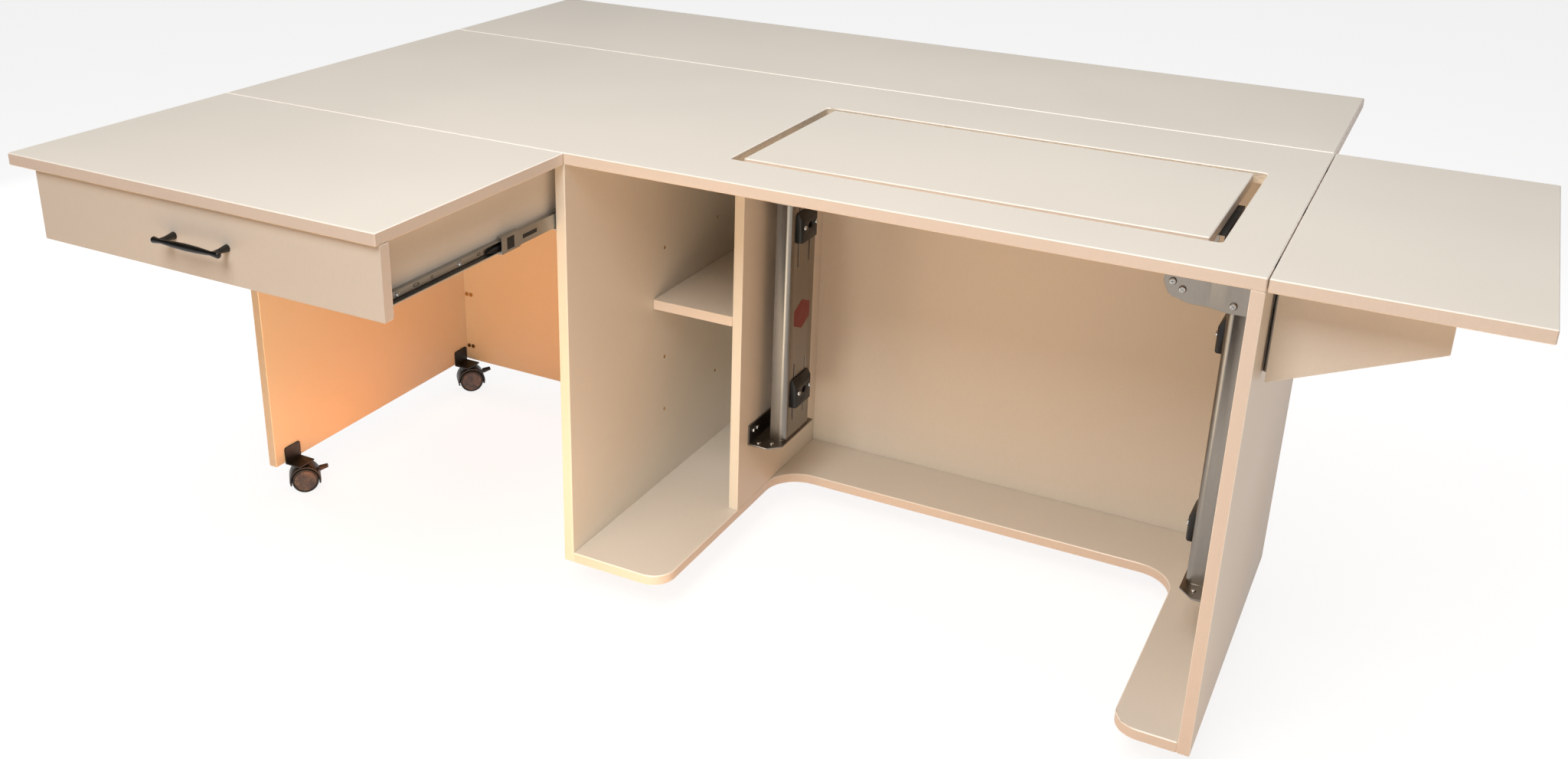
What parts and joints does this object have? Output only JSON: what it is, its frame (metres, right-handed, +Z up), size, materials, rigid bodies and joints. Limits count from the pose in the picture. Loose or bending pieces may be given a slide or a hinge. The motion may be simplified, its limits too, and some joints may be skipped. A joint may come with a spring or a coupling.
{
  "type": "folding sewing cutting table",
  "caption": "Folding sewing table on casters with a lifting machine platform in the worktop, hinged leaves, a wide pull-out drawer and an open shelf bay",
  "frame": {"origin": "on the floor under the middle of the table's overall length and depth, leaves open and drawer out", "axes": "+X along the worktop from the drawer end to the right leaf, +Y from the sewer's side to the back leaf, +Z up"},
  "size_m": [2.062, 1.522, 0.79],
  "materials": {
    "laminate_top": "satin",
    "laminate_board": "satin",
    "board_raw": "matte",
    "zinc_steel": "satin",
    "bright_steel": "polished",
    "dark_plastic": "satin",
    "wheel_plastic": "satin",
    "black_handle": "satin",
    "black_tube": "satin",
    "brass": "satin"
  },
  "bodies": {
    "carcass": {"main_top": "laminate_top", "top_hinge_bodies": "zinc_steel", "left_end_panel": "laminate_board", "drawer_partition": "laminate_board", "bay_partition": "laminate_board", "right_end_panel": "laminate_board", "main_back_panel": "laminate_board", "base_panel": "laminate_board", "adjustable_shelf": "laminate_board", "shelf_pins": "zinc_steel", "left_back_panel": "laminate_board", "cam_fittings": "brass", "slide_outers": "zinc_steel", "slide_cleat": "board_raw", "back_hinges_fixed": "zinc_steel", "stay_wall_plates": "zinc_steel", "wing_hinge_fixed": "zinc_steel", "lift_post_left": "zinc_steel", "lift_post_right": "zinc_steel", "gas_cylinders": "black_tube", "caster_mounts": "dark_plastic"},
    "drawer": {"drawer_front": "laminate_board", "drawer_left_side": "board_raw", "drawer_right_side": "board_raw", "drawer_back": "board_raw", "drawer_bottom": "board_raw", "drawer_handle": "black_handle", "slide_inners": "zinc_steel"},
    "slide_middle": {"slide_middles": "zinc_steel"},
    "front_leaf_body": {"front_leaf": "laminate_top", "front_leaf_hinges": "zinc_steel"},
    "right_leaf_body": {"right_leaf": "laminate_top", "right_leaf_hinges": "zinc_steel"},
    "back_leaf_body": {"back_leaf": "laminate_top", "back_hinges_moving": "zinc_steel", "stay_leaf_plates": "zinc_steel"},
    "wall_links": {"stay_wall_links": "zinc_steel"},
    "leaf_links": {"stay_leaf_links": "zinc_steel"},
    "wing": {"support_wing": "laminate_board", "wing_hinge_moving": "zinc_steel"},
    "lift": {"lift_platform": "laminate_top", "lift_arms": "zinc_steel", "lift_carriages": "zinc_steel", "gas_rods": "bright_steel"},
    "upper_stop_pair": {"upper_stops": "dark_plastic"},
    "lower_stop_pair": {"lower_stops": "dark_plastic"},
    "caster_left_front": {"caster_hood_left_front": "dark_plastic"},
    "wheels_left_front": {"caster_wheels_left_front": "wheel_plastic"},
    "brake_left_front": {"caster_brake_left_front": "dark_plastic"},
    "caster_left_back": {"caster_hood_left_back": "dark_plastic"},
    "wheels_left_back": {"caster_wheels_left_back": "wheel_plastic"},
    "brake_left_back": {"caster_brake_left_back": "dark_plastic"},
    "caster_bay_front": {"caster_hood_bay_front": "dark_plastic"},
    "wheels_bay_front": {"caster_wheels_bay_front": "wheel_plastic"},
    "caster_bay_back": {"caster_hood_bay_back": "dark_plastic"},
    "wheels_bay_back": {"caster_wheels_bay_back": "wheel_plastic"},
    "caster_right_front": {"caster_hood_right_front": "dark_plastic"},
    "wheels_right_front": {"caster_wheels_right_front": "wheel_plastic"},
    "caster_right_back": {"caster_hood_right_back": "dark_plastic"},
    "wheels_right_back": {"caster_wheels_right_back": "wheel_plastic"}
  },
  "joints": [
    {"name": "drawer_slide", "type": "slide", "parent": "carcass", "child": "drawer", "axis": [0, 1, 0], "range_m": [0, 0.405]},
    {"name": "middle_slide", "type": "slide", "parent": "carcass", "child": "slide_middle", "axis": [0, 1, 0], "range_m": [0, 0.2025]},
    {"name": "front_leaf_hinge", "type": "hinge", "parent": "carcass", "child": "front_leaf_body", "pos_m": [-0.6815, -0.30405, 0.7903], "axis": [-1, 0, 0], "range_deg": [0, 180]},
    {"name": "right_leaf_hinge", "type": "hinge", "parent": "carcass", "child": "right_leaf_body", "pos_m": [0.71, 0.01795, 0.7903], "axis": [0, -1, 0], "range_deg": [0, 180]},
    {"name": "back_leaf_hinge", "type": "hinge", "parent": "carcass", "child": "back_leaf_body", "pos_m": [-0.161, 0.33995, 0.7668], "axis": [-1, 0, 0], "range_deg": [0, 90]},
    {"name": "stay_wall_hinge", "type": "hinge", "parent": "carcass", "child": "wall_links", "pos_m": [-0.161, 0.31795, 0.5368], "axis": [1, 0, 0], "range_deg": [0, 38.95]},
    {"name": "stay_leaf_hinge", "type": "hinge", "parent": "back_leaf_body", "child": "leaf_links", "pos_m": [-0.161, 0.50995, 0.7568], "axis": [-1, 0, 0], "range_deg": [0, 46.23]},
    {"name": "wing_hinge", "type": "hinge", "parent": "carcass", "child": "wing", "pos_m": [0.7125, -0.19155, 0.6127], "axis": [0, 0, 1], "range_deg": [0, 90]},
    {"name": "platform_lift", "type": "slide", "parent": "carcass", "child": "lift", "axis": [0, 0, 1], "range_m": [-0.24005, 0]},
    {"name": "upper_stop_slide", "type": "slide", "parent": "carcass", "child": "upper_stop_pair", "axis": [0, 0, 1], "range_m": [0, 0.02]},
    {"name": "lower_stop_slide", "type": "slide", "parent": "carcass", "child": "lower_stop_pair", "axis": [0, 0, 1], "range_m": [-0.02, 0]},
    {"name": "swivel_left_front", "type": "hinge", "parent": "carcass", "child": "caster_left_front", "pos_m": [-0.993, -0.26005, 0.059], "axis": [0, 0, 1], "continuous": true},
    {"name": "roll_left_front", "type": "hinge", "parent": "caster_left_front", "child": "wheels_left_front", "pos_m": [-0.98664, -0.25369, 0.025], "axis": [-0.7071, 0.7071, 0], "continuous": true},
    {"name": "brake_pedal_left_front", "type": "hinge", "parent": "caster_left_front", "child": "brake_left_front", "pos_m": [-0.96597, -0.23302, 0.04054], "axis": [-0.7071, 0.7071, 0], "range_deg": [0, 16]},
    {"name": "swivel_left_back", "type": "hinge", "parent": "carcass", "child": "caster_left_back", "pos_m": [-0.993, 0.26195, 0.059], "axis": [0, 0, 1], "continuous": true},
    {"name": "roll_left_back", "type": "hinge", "parent": "caster_left_back", "child": "wheels_left_back", "pos_m": [-0.98664, 0.26831, 0.025], "axis": [-0.7071, 0.7071, 0], "continuous": true},
    {"name": "brake_pedal_left_back", "type": "hinge", "parent": "caster_left_back", "child": "brake_left_back", "pos_m": [-0.96597, 0.28898, 0.04054], "axis": [-0.7071, 0.7071, 0], "range_deg": [0, 16]},
    {"name": "swivel_bay_front", "type": "hinge", "parent": "carcass", "child": "caster_bay_front", "pos_m": [-0.241, -0.17305, 0.059], "axis": [0, 0, 1], "continuous": true},
    {"name": "roll_bay_front", "type": "hinge", "parent": "caster_bay_front", "child": "wheels_bay_front", "pos_m": [-0.23464, -0.16669, 0.025], "axis": [-0.7071, 0.7071, 0], "continuous": true},
    {"name": "swivel_bay_back", "type": "hinge", "parent": "carcass", "child": "caster_bay_back", "pos_m": [-0.241, 0.23195, 0.059], "axis": [0, 0, 1], "continuous": true},
    {"name": "roll_bay_back", "type": "hinge", "parent": "caster_bay_back", "child": "wheels_bay_back", "pos_m": [-0.23464, 0.23831, 0.025], "axis": [-0.7071, 0.7071, 0], "continuous": true},
    {"name": "swivel_right_front", "type": "hinge", "parent": "carcass", "child": "caster_right_front", "pos_m": [0.642, -0.17305, 0.059], "axis": [0, 0, 1], "continuous": true},
    {"name": "roll_right_front", "type": "hinge", "parent": "caster_right_front", "child": "wheels_right_front", "pos_m": [0.64836, -0.16669, 0.025], "axis": [-0.7071, 0.7071, 0], "continuous": true},
    {"name": "swivel_right_back", "type": "hinge", "parent": "carcass", "child": "caster_right_back", "pos_m": [0.642, 0.23195, 0.059], "axis": [0, 0, 1], "continuous": true},
    {"name": "roll_right_back", "type": "hinge", "parent": "caster_right_back", "child": "wheels_right_back", "pos_m": [0.64836, 0.23831, 0.025], "axis": [-0.7071, 0.7071, 0], "continuous": true}
  ],
  "couplings": [
    {"joint": "middle_slide", "follows": "drawer_slide", "ratio": 0.5},
    {"joint": "stay_wall_hinge", "follows": "back_leaf_hinge", "ratio": 0.43284},
    {"joint": "stay_leaf_hinge", "follows": "back_leaf_hinge", "ratio": 0.51368}
  ]
}
